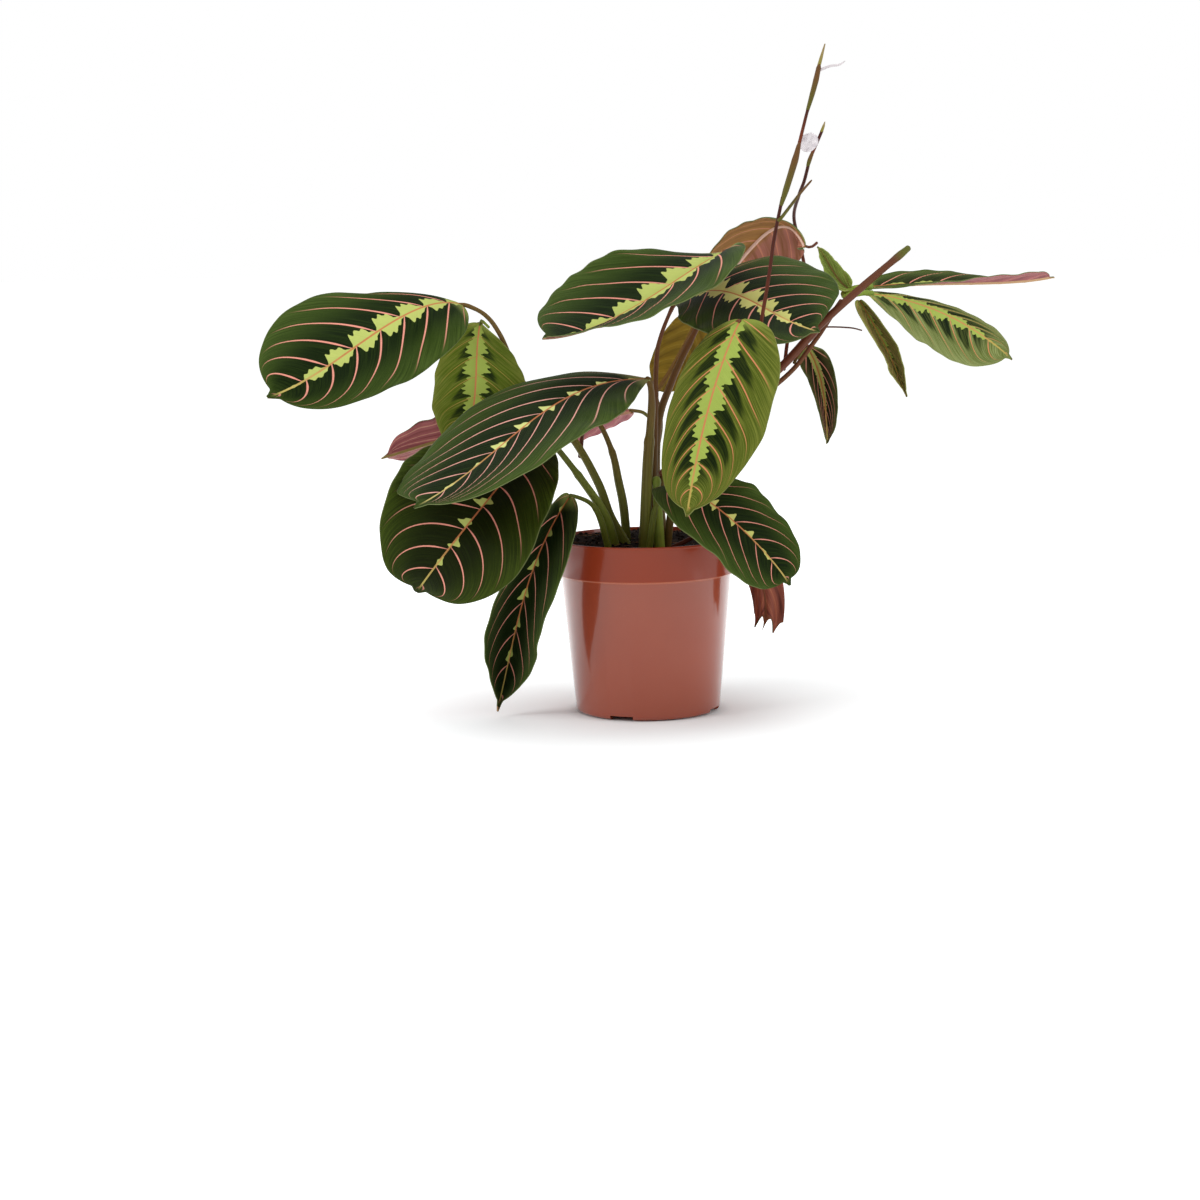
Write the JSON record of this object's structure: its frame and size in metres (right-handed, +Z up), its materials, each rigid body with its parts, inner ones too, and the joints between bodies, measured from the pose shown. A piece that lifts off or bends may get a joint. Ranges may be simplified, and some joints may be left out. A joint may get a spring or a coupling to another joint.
{
  "type": "potted prayer plant (maranta)",
  "caption": "Potted prayer plant: patterned drooping leaves on sheathed stalks with thin flower stalks, in a round terracotta-coloured plastic nursery pot.",
  "frame": {"origin": "centre of the pot's foot, on the surface it stands on", "axes": "+Z up, -Y towards the side the foliage is best seen from, +X to that viewer's right along the foliage's longest spread"},
  "size_m": [0.5246, 0.1987, 0.4293],
  "materials": {
    "terracotta_plastic": "satin",
    "potting_mix": "matte",
    "leaf_dark": "satin",
    "leaf_fresh": "satin",
    "leaf_underside": "matte",
    "leaf_olive": "matte",
    "stalk_green": "satin",
    "stalk_purple": "satin",
    "sheath_green": "satin",
    "bract": "satin",
    "petal": "matte"
  },
  "bodies": {
    "root": {"basal_sheath": "sheath_green", "blade_back_left": "leaf_underside", "blade_behind_middle": "leaf_olive", "blade_far_left": "leaf_dark", "blade_front_left": "leaf_dark", "blade_front_right": "leaf_fresh", "blade_left_hanging": "leaf_fresh", "blade_low_hanging": "leaf_dark", "blade_low_left": "leaf_dark", "blade_low_right": "leaf_dark", "blade_pink_middle": "leaf_underside", "blade_right_broad": "leaf_fresh", "blade_right_down": "leaf_fresh", "blade_right_hanging": "leaf_dark", "blade_right_long": "leaf_dark", "blade_top_back": "leaf_underside", "blade_upper_left": "leaf_dark", "blade_upper_middle": "leaf_dark", "blade_withered": "leaf_underside", "bract_back": "bract", "bract_front_lower": "bract", "bract_front_side": "bract", "bract_front_upper": "bract", "flower_stalk_back": "stalk_purple", "flower_stalk_back_upper": "stalk_purple", "flower_stalk_front": "stalk_purple", "flower_stalk_front_middle": "stalk_purple", "flower_tip_back": "bract", "flower_tip_front": "bract", "flowering_stem": "stalk_purple", "petal_front": "petal", "petal_front_side": "petal", "petiole_back_left": "stalk_green", "petiole_behind_middle": "stalk_green", "petiole_far_left": "stalk_green", "petiole_front_left": "stalk_green", "petiole_front_right": "stalk_green", "petiole_left_hanging": "stalk_green", "petiole_low_hanging": "stalk_green", "petiole_low_left": "stalk_green", "petiole_low_right": "stalk_green", "petiole_pink_middle": "stalk_green", "petiole_right_broad": "stalk_green", "petiole_right_down": "stalk_purple", "petiole_right_hanging": "stalk_purple", "petiole_right_long": "stalk_green", "petiole_top_back": "stalk_purple", "petiole_upper_left": "stalk_green", "petiole_upper_middle": "stalk_green", "petiole_withered": "stalk_purple", "pot": "terracotta_plastic", "potting_mix": "potting_mix", "sheath_wing": "leaf_fresh", "side_stem": "stalk_purple", "withered_sheath": "stalk_purple"}
  },
  "joints": []
}
